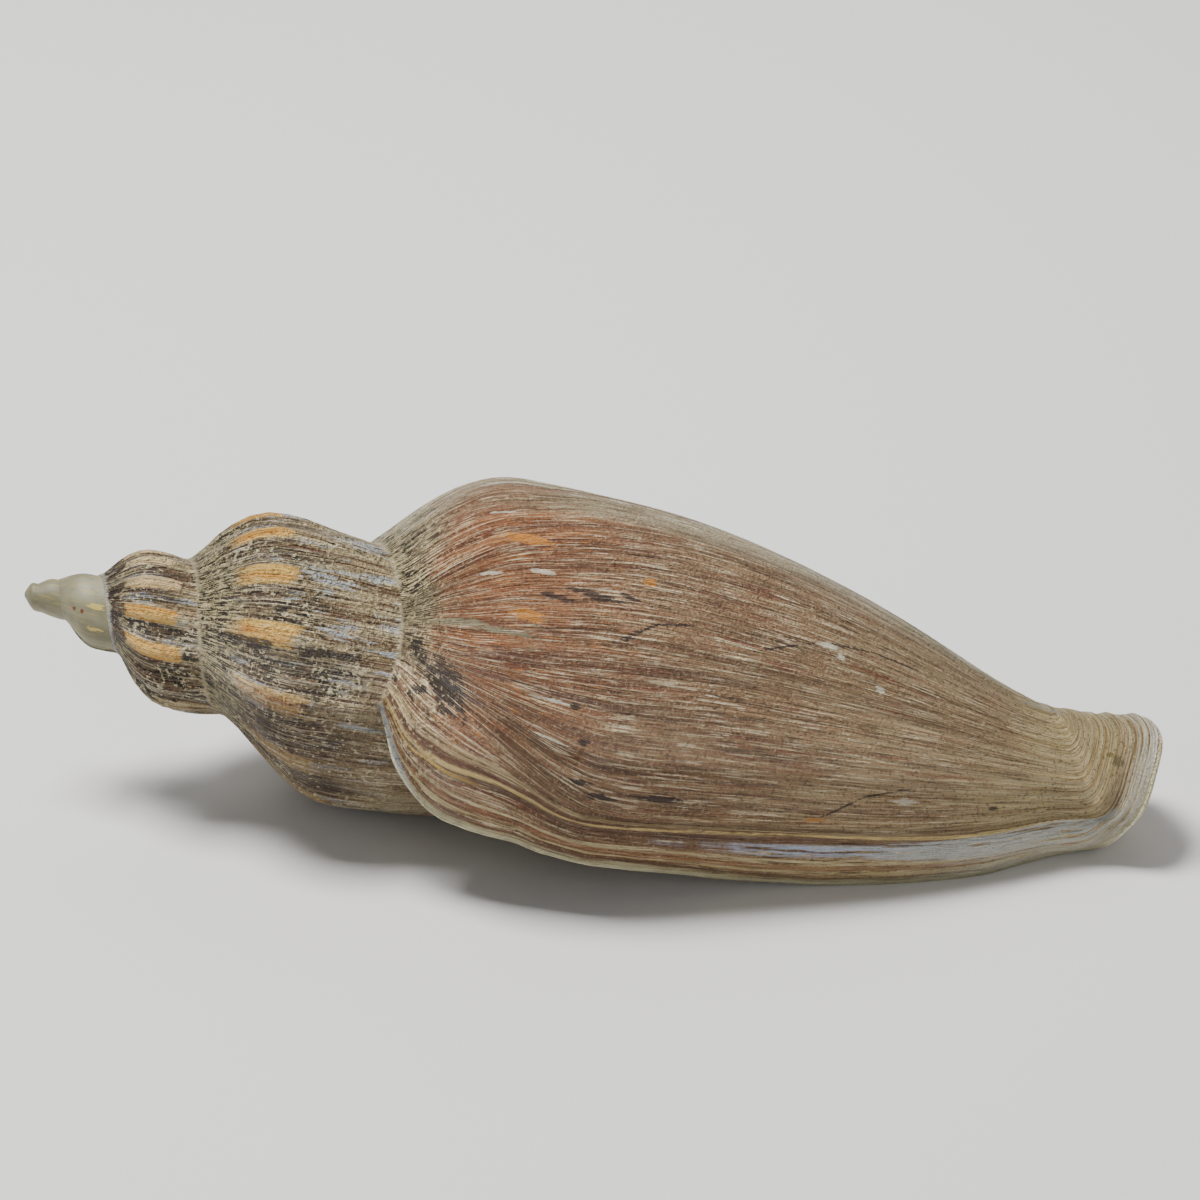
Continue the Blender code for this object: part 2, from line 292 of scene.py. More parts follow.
APEX = Vector((-80.094, 2.053, 30.819))   # where the apex stands, with the shell on its mouth
ROLL = 79.6
PITCHED = Matrix.Rotation(math.radians(8.7), 3, "Y")


def stand(angle, x, r):
    """A point of the lying shell, in metres."""
    turn = math.radians(angle + ROLL)
    return (PITCHED @ Vector((x, -r * math.sin(turn), r * math.cos(turn))) + APEX) * MM


def place(angle, x, r):
    """The same, worn flat where the shell rests on the floor."""
    spot = stand(angle, x, r)
    spot.z = max(spot.z, 0.0)
    return spot


# Growth lines.
# Each pause of the lip left a line on the shell.  The youngest copy the lip, older ones fan out
# from the spire and run straight, and all sweep round the end of the canal.  Two measures follow:
# how far the lip has grown since a spot was laid, and how far along its line the spot lies.
LINES = (                        # growth since then, (distance from the apex, growth angle)
    (0.0, tuple(station[:2] for station in LIP)),
    (6.8, ((52.4, -6.0), (54.8, 1.5), (57.5, 7.5), (61.7, 9.5), (68.0, 9.5), (72.0, 10.5),
           (80.6, 15.5), (88.0, 16.0), (112.0, 17.5), (139.0, 18.0), (155.0, 10.0))),
    (11.0, ((53.0, -21.0), (54.9, -20.2), (62.2, -11.7), (69.8, -3.5), (77.2, 5.4),
            (84.9, 11.0), (100.0, 12.5), (139.0, 12.0), (155.0, 5.0))),
    (28.0, ((53.0, -30.0), (62.2, -25.5), (79.2, -26.3), (102.0, -30.4), (155.0, -32.0))),
    (33.0, ((53.0, -37.0), (58.9, -34.0), (64.5, -32.5), (83.8, -36.6), (155.0, -41.0))),
    (48.0, ((54.0, -50.0), (61.3, -55.3), (67.7, -60.0), (78.5, -65.9), (92.4, -70.4),
            (155.0, -75.0))),
    (57.6, ((54.0, -79.7), (66.5, -80.3), (77.5, -88.0), (92.0, -89.3), (155.0, -90.0))),
    (76.5, ((54.0, -125.0), (155.0, -125.0))),
)
END_SHARE, END_POWER = 0.68, 1.6  # lines crowd round the front end
LINE_MERGE = 3.0
LINE_SLANT = 0.15
APEX_ANGLE = -2090.0

grown = [0.0]
for degree in range(int(-APEX_ANGLE) + 3):
    grown.append(grown[-1] + math.radians(shoulder_radius(-degree)))


def side_growth(angle):
    back = max(0.0, -angle)
    whole = int(back)
    return grown[whole] + (grown[whole + 1] - grown[whole]) * (back - whole)


def since_lip(angle, x):
    """How far the lip has grown since it stood at this spot."""
    oldest, stations = LINES[-1]
    straight = stations[0][1]
    if angle <= straight:
        return oldest + side_growth(angle) - side_growth(straight)
    before, above = LINES[0][0], lip_angle(x)
    if angle >= above:
        return 0.0
    for since, stations in LINES[1:]:
        below = along(stations, x, 1)
        if angle >= below:
            return before + (since - before) * (above - angle) / (above - below)
        before, above = since, below
    return before


def growth_line(angle, x):
    """Growth since a spot was laid, and its place along its line."""
    past_lip = since_lip(angle, x)
    past_end = END_SHARE * max(0.0, front_x(angle) - x) ** END_POWER
    near, far = min(past_lip, past_end), max(past_lip, past_end)
    since = near - LINE_MERGE * math.log(1.0 + math.exp((near - far) / LINE_MERGE))
    return since, x - LINE_SLANT * angle, past_lip


# Fine relief.
# The outer layer is laid in uneven ridges along the growth lines, with resting furrows near the
# lip, crowded blades round the front end and a raised thread where whorls join.  Later knocks and
# borers have left small pits.
RIDGES = (                       # height, waves per mm of growth, waves per mm along the line
    (0.16, 0.75, 0.05),
    (0.22, 0.34, 0.04),
    (0.26, 0.15, 0.03),
    (0.32, 0.06, 0.02),
)
BLADES = ((0.34, 0.8, 0.09), (0.42, 0.3, 0.06))
BLADES_SPAN = 16.0
CURL_HEIGHT = 0.8                # the lip turns up where it starts on the spire
CURL_WIDTH = 1.6
CURL_END = 58.0
REST_FURROWS = (                 # growth since, width, depth
    (6.4, 1.5, 0.55), (2.2, 0.5, 0.14), (3.9, 0.5, 0.1), (9.5, 0.9, 0.18), (15.0, 1.2, 0.12),
)
FURROWS_FROM = -90.0
FURROWS_SPAN = 60.0
THREAD_HEIGHT = 0.3
THREAD_WIDTH = 0.4
HATCHED_SPAN = 120.0             # the first whorls, grown in the egg, are smooth
FULL_RELIEF_RADIUS = 12.0
SUTURE_CALM = 1.8
PITS = (                         # growth angle, distance from the apex, radius, depth
    (-3.0, 80.2, 0.9, 0.5), (-2.0, 79.2, 0.7, 0.35), (16.6, 138.2, 0.8, 0.45),
    (-52.0, 84.5, 0.5, 0.3), (-48.0, 89.0, 0.4, 0.25), (14.0, 85.0, 0.9, 0.3),
)
PIT_REACH = 9.0                  # square of how many radii out a pit is still felt


def bump(spot, size, rate, line_rate, seed):
    return size * noise.noise(Vector((spot[0] * rate, spot[1] * line_rate, seed)))


def relief(angle, x, line, join):
    """Height of the fine relief; join is the distance to the nearest suture."""
    hatched = ease((angle - RIBS_BEGIN + HATCHED_SPAN / 2.0) / HATCHED_SPAN)
    to_end = front_x(angle) - x
    height = sum(bump(line, *ridge, seed) for seed, ridge in enumerate(RIDGES))
    crowded = 1.0 - ease((to_end - 2.0) / BLADES_SPAN)
    height += sum(bump(line, *blade, 11.0 + seed) for seed, blade in enumerate(BLADES)) * crowded
    curl = ease((x - LIP_CORNER) / 3.0) * (1.0 - ease((x - CURL_END) / 12.0))
    height += CURL_HEIGHT * curl * math.exp(-(line[2] / CURL_WIDTH) ** 2)
    young = ease((angle - FURROWS_FROM) / FURROWS_SPAN)
    for since, width, depth in REST_FURROWS:
        height -= depth * math.exp(-((line[0] - since) / width) ** 2) * young
    for pit_angle, pit_x, radius, depth in PITS:
        across = math.radians(angle - pit_angle) * TOP_RADIUS
        away = (across * across + (x - pit_x) ** 2) / (radius * radius)
        if away < PIT_REACH:
            height -= depth * math.exp(-away)
    size = min(1.0, shoulder_radius(angle) / FULL_RELIEF_RADIUS)
    thread = THREAD_HEIGHT * size * math.exp(-(join / THREAD_WIDTH) ** 2)
    return height * hatched * size * ease(join / SUTURE_CALM) + thread * hatched


# Outer wall.
# The snail's outer layer: a strip for the spire, whose front edge is stuck under the next whorl,
# and a wider strip for the last whorl, which runs out to the front end.  A thin skin closes the
# mouth until the hollow is cut through it.
FIRST_ROW = round(APEX_ANGLE / STEP)
SPIRE_COLUMNS = 16
BODY_COLUMNS = 84
CAP_COLUMNS = 7
EDGE_ROUND = 0.55                # radius of the rounded lip and front edge
ROUND_COLUMNS = 4
ROUND_ROWS = 3
SKIN_ROWS = 2
ROUND_FADES_IN = 12.0            # columns over which the rounding of the lip starts and ends
ROUND_FADES_OUT = 8.0
CROWDING = 0.72                  # columns crowd towards both edges of a strip
PILLAR_END = 156.0
LEAD_SPAN = 120.0
MAPS = ("growth", "place", "edges", "whorl", "rib")
MAP_SCALE = 0.01


def spread(column, columns):
    t = column / columns
    return t - CROWDING * math.sin(2.0 * math.pi * t) / (2.0 * math.pi)


def lip_share(row_angle):
    before_lip = 1.0 + row_angle / LEAD_SPAN
    past_corner = 1.0 - (row_angle + TURN) / LEAD_SPAN if row_angle >= -TURN else 0.0
    return ease(max(before_lip, past_corner))


def lean(row_angle, start, part):
    """Growth angle and distance from the apex at a part of the way from start to the end."""
    share = lip_share(row_angle)
    corner, tip = LIP[0], LIP[-1]
    end = front_x(row_angle + share * tip[1])
    angle = row_angle + share * lip_angle(corner[0] + (tip[0] - corner[0]) * part)
    return angle, start + (end - start) * part


def spire_end(row_angle):
    if row_angle <= -TURN:
        return suture_x(row_angle + TURN)
    left = 1.0 - ((row_angle + TURN) / TURN) ** 3
    return suture_x(row_angle) + (suture_x(0.0) - suture_x(-TURN)) * left


def dressed_spot(angle, x, r, join):
    """A point of the outer wall with its relief, and what its maps hold."""
    line = growth_line(angle, x)
    maps = (
        (line[0] * MAP_SCALE, line[1] * MAP_SCALE),
        (angle / TURN, x * MAP_SCALE),
        (line[2] * MAP_SCALE, (front_x(angle) - x) * MAP_SCALE),
        (join * MAP_SCALE, (x - suture_x(angle)) / (shoulder_x(angle) - suture_x(angle))),
        (rib_crest(angle), rib_strength(angle, x)),
    )
    return place(angle, x, r + relief(angle, x, line, join)), maps


def to_suture(row_angle, x):
    """Distance to the nearest join between two whorls."""
    behind = x - suture_x(row_angle)
    ahead = suture_x(min(row_angle + TURN, 0.0)) - x
    if row_angle > -TURN:
        ahead = math.hypot(ahead, math.radians(row_angle + TURN) * shoulder_radius(-TURN))
    return max(0.0, min(behind, ahead))


def spire_spot(row, column):
    row += FIRST_ROW
    angle = row * STEP
    start, end = suture_x(angle), spire_end(angle)
    if column == 0:
        return dressed_spot(angle, start, suture_radius(row), 0.0)
    if column == SPIRE_COLUMNS and row <= -ROWS_PER_TURN:
        return dressed_spot(angle, end, suture_radius(row + ROWS_PER_TURN), 0.0)
    x = start + (end - start) * spread(column, SPIRE_COLUMNS)
    join = to_suture(angle, x)
    if angle > -TURN / 2:
        part = (x - start) / (front_x(angle) - start)
        angle = lean(angle, start, part)[0]
    return dressed_spot(angle, x, wall_radius(angle, x), join)


def body_spot(row, column):
    row_angle = (row - ROWS_PER_TURN) * STEP
    start, back, front = spire_end(row_angle), suture_x(row_angle), front_x(row_angle)
    if column == 0:
        return spire_spot(row - ROWS_PER_TURN - FIRST_ROW, SPIRE_COLUMNS)
    x = start + (front - EDGE_ROUND - start) * spread(min(column, BODY_COLUMNS), BODY_COLUMNS)
    if row_angle > -TURN / 2:
        angle, x = lean(row_angle, back, (x - back) / (front - back))
    else:
        angle, x = lean(row_angle, start, (x - start) / (front - start))
    r = wall_radius(angle, x)
    spot, maps = dressed_spot(angle, x, r, to_suture(row_angle, x))
    if column <= BODY_COLUMNS:
        return spot, maps
    bend = min(1.0, (column - BODY_COLUMNS) / ROUND_COLUMNS) * math.pi / 2.0
    inward = max(0.0, (column - BODY_COLUMNS - ROUND_COLUMNS) / (CAP_COLUMNS - ROUND_COLUMNS))
    rim_x = x + EDGE_ROUND * math.sin(bend)
    rim_r = r - EDGE_ROUND * (1.0 - math.cos(bend))
    rim_x += (PILLAR_END - rim_x) * inward * (2.0 - inward)
    maps = (*maps[:2], (maps[2][0], -inward * MAP_SCALE), *maps[3:])
    return place(angle, rim_x, rim_r * (1.0 - inward)), maps


def mouth_spot(row, column):
    """From the lip's rounded edge over the open mouth to the pillar."""
    lip, maps = body_spot(ROWS_PER_TURN, column)
    pillar = body_spot(0, column)[0]
    if row == 0 or column == 0:
        return lip, maps
    past_end = ease((column - BODY_COLUMNS + ROUND_FADES_OUT) / ROUND_FADES_OUT)
    whole = ease(column / ROUND_FADES_IN) * (1.0 - past_end)
    before = body_spot(ROWS_PER_TURN - 2, column)[0]
    axis = PITCHED @ Vector((1.0, 0.0, 0.0))
    inward = APEX * MM - lip
    inward -= axis * inward.dot(axis)
    inward.normalize()
    forward = (lip - before).normalized()
    bend = min(1.0, row / ROUND_ROWS) * math.pi / 2.0
    radius = EDGE_ROUND * whole * MM
    rim = lip + forward * radius * math.sin(bend) + inward * radius * (1.0 - math.cos(bend))
    rim.z = max(rim.z, 0.0)
    skin = max(0.0, (row - ROUND_ROWS) / SKIN_ROWS)
    return rim.lerp(pillar, skin), maps


def add_strip(bm, rows, columns, spot_at, material_index):
    """A strip of the shell, each corner placed and mapped by spot_at(row, column)."""
    strip = bmesh.ops.create_grid(bm, x_segments=rows, y_segments=columns, size=0.5)
    maps = {}
    for vertex in strip["verts"]:
        row = round((vertex.co.x + 0.5) * rows)
        column = round((vertex.co.y + 0.5) * columns)
        vertex.co, maps[vertex] = spot_at(row, column)
    layers = [bm.loops.layers.uv.get(name) or bm.loops.layers.uv.new(name) for name in MAPS]
    for face in {face for vertex in strip["verts"] for face in vertex.link_faces}:
        face.material_index = material_index
        for loop in face.loops:
            for layer, value in zip(layers, maps[loop.vert]):
                loop[layer].uv = value


def add_object(name, data):
    made = bpy.data.objects.new(name, data)
    bpy.context.scene.collection.objects.link(made)
    return made


def add_mesh(name, bm):
    mesh = bpy.data.meshes.new(name)
    bm.to_mesh(mesh)
    bm.free()
    return add_object(name, mesh)


def close_strips(name, bm):
    """Weld the strips to each other and make one closed body of them."""
    bmesh.ops.remove_doubles(bm, verts=bm.verts, dist=WELD)
    bmesh.ops.holes_fill(bm, edges=bm.edges)
    bmesh.ops.triangulate(bm, faces=bm.faces)
    bmesh.ops.recalc_face_normals(bm, faces=bm.faces)
    return add_mesh(name, bm)


bm = bmesh.new()
add_strip(bm, -FIRST_ROW, SPIRE_COLUMNS, spire_spot, 0)
add_strip(bm, ROWS_PER_TURN, BODY_COLUMNS + CAP_COLUMNS, body_spot, 0)
add_strip(bm, ROUND_ROWS + SKIN_ROWS, BODY_COLUMNS + CAP_COLUMNS, mouth_spot, 0)
outer_wall = close_strips("outer_wall", bm)

# Mouth and canal.
# The room that the snail lived in.  It winds back from the lip for a little over one turn here,
# leaves a thin wall, and is lined by a glaze over the whorl below.  The pillar in the middle
# carries three slanting folds.
WALL = 1.7
LIP_WALL = 1.15
LIP_TAPER = 25.0
GLAZE = 0.5
PILLAR_CORE = 0.12
HOLLOW_START = -410.0
HOLLOW_LEAST = 0.5
HOLLOW_TRIM = 0.25
HOLLOW_BEHIND_NECK = 7.7
CANAL_LENGTH = 38.0
CANAL_FROM = -200.0
CANAL_SPAN = 80.0
MOUTH_OVERSHOOT = 9.0
FRONT_OVERSHOOT = 166.0
HOLLOW_STEP = 4.0
HOLLOW_COLUMNS = 90
FOLDS = (94.0, 101.0, 108.0)
FOLD_HEIGHT = 0.9
FOLD_WIDTH = 2.2
FOLDS_FROM = -330.0
FOLDS_SPAN = 90.0
FOLDS_END = 60.0
LIP_FLARE = 0.35
LIP_FLARE_LENGTH = 2.0


def hollow_sides(angle, x, past_lip):
    """Outer and inner radius of the hollow."""
    slope = wall_radius(angle, x + 0.5) - wall_radius(angle, x - 0.5)
    to_lip = ease((lip_angle(x) - angle) / LIP_TAPER)
    wall = LIP_WALL + (WALL - LIP_WALL) * to_lip
    outer = wall_radius(angle, x) - wall * math.hypot(1.0, slope)
    outer += LIP_FLARE * ease(1.0 + past_lip / LIP_FLARE_LENGTH)
    inner = max(wall_radius(angle - TURN, x) + GLAZE, PILLAR_CORE * shoulder_radius(angle))
    for fold in FOLDS:
        away = (x - fold * END_RATIO ** (min(angle, FOLDS_END) / 180.0)) / FOLD_WIDTH
        inner += FOLD_HEIGHT * math.exp(-away * away) * ease((angle - FOLDS_FROM) / FOLDS_SPAN)
    return outer, inner


def hollow_angle(row_angle, x):
    back = suture_x(row_angle)
    part = (x - back) / (front_x(row_angle) - back)
    if row_angle < 0.0:
        return lean(row_angle, back, min(1.0, part))[0]
    return row_angle + lip_angle(x)


def hollow_ring(row_angle):
    """Section of the hollow: out along its outer side, back along the whorl below."""
    back = suture_x(row_angle)
    front = neck_x(row_angle) - HOLLOW_BEHIND_NECK
    front += CANAL_LENGTH * ease((row_angle - CANAL_FROM) / CANAL_SPAN)
    front = min(front, FRONT_OVERSHOOT)

    def gap(x):
        outer, inner = hollow_sides(hollow_angle(row_angle, x), x, row_angle)
        return outer - inner

    while gap(back) < HOLLOW_LEAST:
        back += HOLLOW_TRIM
    while gap(front) < HOLLOW_LEAST:
        front -= HOLLOW_TRIM
    places = [
        back + (front - back) * 0.5 * (1.0 - math.cos(math.pi * n / HOLLOW_COLUMNS))
        for n in range(HOLLOW_COLUMNS + 1)
    ]
    ring = []
    for side, xs in ((0, places), (1, places[::-1])):
        for x in xs:
            angle = hollow_angle(row_angle, x)
            r = hollow_sides(angle, x, row_angle)[side]
            maps = (
                (side_growth(row_angle) * MAP_SCALE, x * MAP_SCALE),
                (angle / TURN, x * MAP_SCALE),
                (side_growth(row_angle) * MAP_SCALE, (front_x(angle) - x) * MAP_SCALE),
                (float(side), r * MAP_SCALE),
                (0.0, 0.0),
            )
            ring.append((stand(angle, x, r), maps))
    return ring


hollow_rows = round((MOUTH_OVERSHOOT - HOLLOW_START) / HOLLOW_STEP)
rings = [
    hollow_ring(HOLLOW_START + (MOUTH_OVERSHOOT - HOLLOW_START) * n / hollow_rows)
    for n in range(hollow_rows + 1)
]
around = len(rings[0])
bm = bmesh.new()
add_strip(bm, hollow_rows, around, lambda row, column: rings[row][column % around], 1)
room = close_strips("room", bm)

# Worn outside.
# The outer layer is dull lime, laid in fine lines.  On the last whorl it is brown, rust red by
# the spire, tan on top and cream at the front end, and grey-green dirt sits by the suture.  On
# the spire it is grey and cream with worn orange ribs, and the first whorls are bare and waxy.
def rgb(red, green, blue):
    """Linear colour from the everyday 0 to 255 values."""
    return tuple((value / 255.0) ** 2.2 for value in (red, green, blue)) + (1.0,)


def node(tree, kind, inputs, **settings):
    """A new shader node; each input is linked to a socket or set to a value."""
    made = tree.nodes.new(kind)
    for name, value in settings.items():
        setattr(made, name, value)
    for name, value in inputs.items():
        if isinstance(value, bpy.types.NodeSocket):
            tree.links.new(value, made.inputs[name])
        else:
            made.inputs[name].default_value = value
    return made


def calculate(tree, operation, *values):
    inputs = dict(enumerate(values))
    return node(tree, "ShaderNodeMath", inputs, operation=operation).outputs["Value"]


def rise(tree, value, low, high, top=1.0):
    """0 up to low, top from high on, smooth between them."""
    inputs = {"Value": value, "From Min": low, "From Max": high, "To Min": 0.0, "To Max": top}
    if high < low:
        inputs.update({"From Min": high, "From Max": low, "To Min": top, "To Max": 0.0})
    ramp = node(tree, "ShaderNodeMapRange", inputs, interpolation_type="SMOOTHSTEP")
    return ramp.outputs["Result"]


def band(tree, value, middle, half, soft):
    """1 within half of the middle, fading out over soft."""
    away = calculate(tree, "ABSOLUTE", calculate(tree, "SUBTRACT", value, middle))
    return rise(tree, away, half + soft, half)


def both(tree, *values):
    product = values[0]
    for value in values[1:]:
        product = calculate(tree, "MULTIPLY", product, value)
    return product


def blend(tree, factor, first, second):
    inputs = {0: factor, 6: first, 7: second}
    return node(tree, "ShaderNodeMix", inputs, data_type="RGBA").outputs[2]


def paint(tree, colour, factor, shade):
    return blend(tree, factor, colour, rgb(*shade))


def plus(tree, *values):
    total = values[0]
    for value in values[1:]:
        total = calculate(tree, "ADD", total, value)
    return total


def off(tree, value, size):
    """A noise value swung about nought."""
    return both(tree, calculate(tree, "SUBTRACT", value, 0.5), size)


def read_map(tree, name):
    """Both values of one of the shell's maps, in millimetres."""
    source = node(tree, "ShaderNodeUVMap", {}, uv_map=name)
    parts = node(tree, "ShaderNodeSeparateXYZ", {"Vector": source.outputs["UV"]})
    return [calculate(tree, "DIVIDE", parts.outputs[axis], MAP_SCALE) for axis in "XY"]


def grains(tree, spot, scale, detail, roughness=0.65):
    """Grains that lie every way, so many a metre."""
    inputs = {"Vector": spot, "Scale": scale, "Detail": detail, "Roughness": roughness}
    return node(tree, "ShaderNodeTexNoise", inputs).outputs["Fac"]


def streaks(tree, line, rate, line_rate, seed, detail, roughness):
    """Uneven stripes that follow the growth lines: so many a millimetre across and along."""
    across = calculate(tree, "MULTIPLY", line[0], rate)
    down = calculate(tree, "MULTIPLY", line[1], line_rate)
    drawn_out = node(tree, "ShaderNodeCombineXYZ", {"X": across, "Y": down, "Z": seed})
    return grains(tree, drawn_out.outputs["Vector"], 1.0, detail, roughness)


def start_finish(name, roughness):
    material = bpy.data.materials.new(name)
    material.use_nodes = True
    surface = material.node_tree.nodes["Principled BSDF"]
    surface.inputs["Roughness"].default_value = roughness
    return material, material.node_tree, surface


SPOT_ARC = 0.46                  # millimetres of the last whorl's side in a degree


def spot_mask(tree, here, angle, x, long_way, wide_way, ragged, slant):
    """A ragged spot at a growth angle and a distance from the apex."""
    across = calculate(tree, "MULTIPLY", calculate(tree, "SUBTRACT", here[0], angle), SPOT_ARC)
    down = calculate(tree, "SUBTRACT", here[1], x)
    across = calculate(tree, "SUBTRACT", across, both(tree, down, slant))
    size = calculate(
        tree,
        "ADD",
        calculate(tree, "POWER", calculate(tree, "DIVIDE", across, wide_way), 2.0),
        calculate(tree, "POWER", calculate(tree, "DIVIDE", down, long_way), 2.0),
    )
    return rise(tree, calculate(tree, "ADD", size, ragged), 1.1, 0.7)


outside, tree, surface = start_finish("worn outside", 0.5)
line = read_map(tree, "growth")
edge, to_end = read_map(tree, "edges")
join, climb = read_map(tree, "whorl")
climb = calculate(tree, "MULTIPLY", climb, MAP_SCALE)
crest, ribbed = [calculate(tree, "MULTIPLY", value, MAP_SCALE) for value in read_map(tree, "rib")]
turned, x = read_map(tree, "place")
angle = calculate(tree, "MULTIPLY", turned, TURN * MAP_SCALE)
spot = node(tree, "ShaderNodeTexCoord", {}).outputs["Object"]

hair = streaks(tree, line, 3.1, 0.11, 1.0, 3.0, 0.72)
fine = streaks(tree, line, 1.75, 0.05, 2.0, 3.0, 0.68)
medium = streaks(tree, line, 0.5, 0.02, 3.0, 3.0, 0.6)
broad = streaks(tree, line, 0.10, 0.009, 4.0, 1.0, 0.5)
red_lines = streaks(tree, line, 2.1, 0.05, 7.0, 2.0, 0.7)
dashes = streaks(tree, line, 2.2, 0.25, 5.0, 2.0, 0.6)
specks = streaks(tree, line, 2.8, 0.6, 6.0, 3.0, 0.7)
chalky = streaks(tree, line, 0.62, 0.11, 8.0, 3.0, 0.6)
grit = grains(tree, spot, 2300.0, 1.0)
crumbs = grains(tree, spot, 1500.0, 2.0)
patch = grains(tree, spot, 150.0, 4.0)
far_patch = grains(tree, spot, 45.0, 3.0)

# Last whorl.
# Its lime is brown on the side, tan on top and cream towards the front end, and lies two-toned
# along the lines.  Below the spire it is stained rust red, with flecks of orange.
stray_angle = plus(tree, angle, off(tree, broad, 50.0))
stray_x = plus(tree, x, off(tree, far_patch, 30.0))
two_tone = rise(tree, medium, 0.3, 0.7)
brown = blend(tree, two_tone, rgb(104, 74, 48), rgb(158, 122, 86))
pale_brown = blend(tree, two_tone, rgb(130, 102, 68), rgb(186, 158, 116))
tan = blend(tree, two_tone, rgb(128, 110, 74), rgb(206, 194, 158))
rust = blend(tree, two_tone, rgb(102, 56, 30), rgb(168, 106, 60))
cream = blend(tree, two_tone, rgb(178, 144, 84), rgb(240, 222, 164))
colour = blend(tree, rise(tree, stray_x, 86.0, 132.0), brown, pale_brown)
colour = blend(tree, rise(tree, stray_angle, -82.0, -100.0), colour, tan)
colour = blend(tree, rise(tree, stray_x, 132.0, 148.0, 0.9), colour, cream)
front_lines = both(tree, rise(tree, to_end, 7.0, 2.0), rise(tree, fine, 0.4, 0.5, 0.7))
colour = paint(tree, colour, front_lines, (216, 210, 184))
back = both(tree, rise(tree, stray_angle, -125.0, -190.0), rise(tree, far_patch, 0.3, 0.6))
colour = blend(tree, both(tree, back, rise(tree, x, 146.0, 128.0, 0.85)), colour, brown)
rust_zone = both(
    tree,
    rise(tree, stray_x, 88.0, 72.0),
    rise(tree, stray_x, 53.0, 59.0),
    rise(tree, stray_angle, -94.0, -80.0),
    rise(tree, stray_angle, 2.0, -12.0),
)
colour = blend(tree, both(tree, rust_zone, rise(tree, far_patch, 0.3, 0.6, 0.9)), colour, rust)
orange = both(tree, rust_zone, rise(tree, dashes, 0.57, 0.63), rise(tree, patch, 0.44, 0.55))
colour = paint(tree, colour, both(tree, orange, 0.75), (208, 128, 50))
colour = paint(tree, colour, rise(tree, red_lines, 0.53, 0.66, 0.6), (128, 68, 44))

# Spire.
# Older lime, weathered grey and cream over a red-brown ground, with chalky patches.  Dirt lies
# between the ribs, black growths sit in clusters, and the crests are worn through to orange.
sheltered = both(
    tree,
    rise(tree, plus(tree, x, off(tree, patch, 14.0), off(tree, fine, 8.0)), 62.0, 46.0),
    rise(tree, angle, -190.0, -240.0),
)
whorls = calculate(tree, "MAXIMUM", rise(tree, angle, -345.0, -362.0), sheltered)
ash = blend(tree, rise(tree, medium, 0.36, 0.64), rgb(110, 88, 56), rgb(198, 178, 132))
ash = paint(tree, ash, both(tree, rise(tree, fine, 0.47, 0.39), 0.85), (104, 56, 36))
ash = paint(tree, ash, rise(tree, chalky, 0.55, 0.61, 0.85), (184, 191, 196))
older = rise(tree, angle, -560.0, -620.0)
# Partly painted shade: the lower side of the whorl under the lip is tinted darker brown, partly its
# own colour and partly shade painted into the colour.
lower_brown_and_shade = both(tree, rise(tree, angle, -364.0, -348.0), rise(tree, medium, 0.4, 0.5), 0.7)
ash = paint(tree, ash, lower_brown_and_shade, (120, 98, 74))
level = plus(
    tree,
    both(tree, crest, ribbed),
    off(tree, fine, 0.2),
    off(tree, patch, 0.35),
    both(tree, older, 0.13),
)
ripe = plus(tree, climb, off(tree, medium, 0.9))
lately = plus(tree, 0.25, rise(tree, angle, -345.0, -372.0, 0.75))
# Painted shade: the worn orange crests are left off the lower side of the third whorl, so that side
# stays grey as if in shade.
plain_shaded_side = both(tree, older, rise(tree, angle, -704.0, -692.0))
lately = both(tree, lately, rise(tree, plain_shaded_side, 1.0, 0.0))
length = calculate(tree, "SUBTRACT", ripe, both(tree, older, 0.16))
length = calculate(tree, "ABSOLUTE", calculate(tree, "SUBTRACT", length, 0.80))
worn_rib = both(
    tree,
    rise(tree, both(tree, level, plus(tree, 0.85, both(tree, lately, 0.15))), 0.66, 0.76),
    rise(tree, calculate(tree, "SUBTRACT", length, both(tree, older, 0.25)), 0.46, 0.34),
    lately,
)
rim = both(tree, band(tree, level, 0.52, 0.08, 0.06), band(tree, ripe, 0.80, 0.55, 0.15))
between = both(tree, ribbed, rise(tree, crest, 0.5, 0.2), rise(tree, fine, 0.42, 0.54))
ash = paint(tree, ash, both(tree, between, 0.92), (46, 29, 22))
ash = paint(tree, ash, both(tree, rim, rise(tree, dashes, 0.36, 0.5), 0.92), (58, 32, 23))
cluster = plus(tree, specks, off(tree, patch, 1.2), off(tree, far_patch, 0.5))
black = both(
    tree,
    rise(tree, cluster, 0.56, 0.62),
    rise(tree, worn_rib, 0.8, 0.3),
    rise(tree, chalky, 0.6, 0.54),
)
ash = paint(tree, ash, both(tree, black, 0.93), (26, 21, 18))
scattered = plus(tree, crumbs, off(tree, specks, -0.4), off(tree, patch, 0.6))
ash = paint(tree, ash, rise(tree, scattered, 0.6, 0.66, 0.9), (230, 216, 172))
peach = blend(tree, rise(tree, fine, 0.36, 0.6), rgb(214, 142, 46), rgb(240, 194, 102))
high = both(tree, older, rise(tree, angle, -752.0, -772.0), 0.7)
peach = paint(tree, peach, high, (226, 206, 164))
ash = blend(tree, both(tree, worn_rib, 0.95), ash, peach)
colour = blend(tree, whorls, colour, ash)

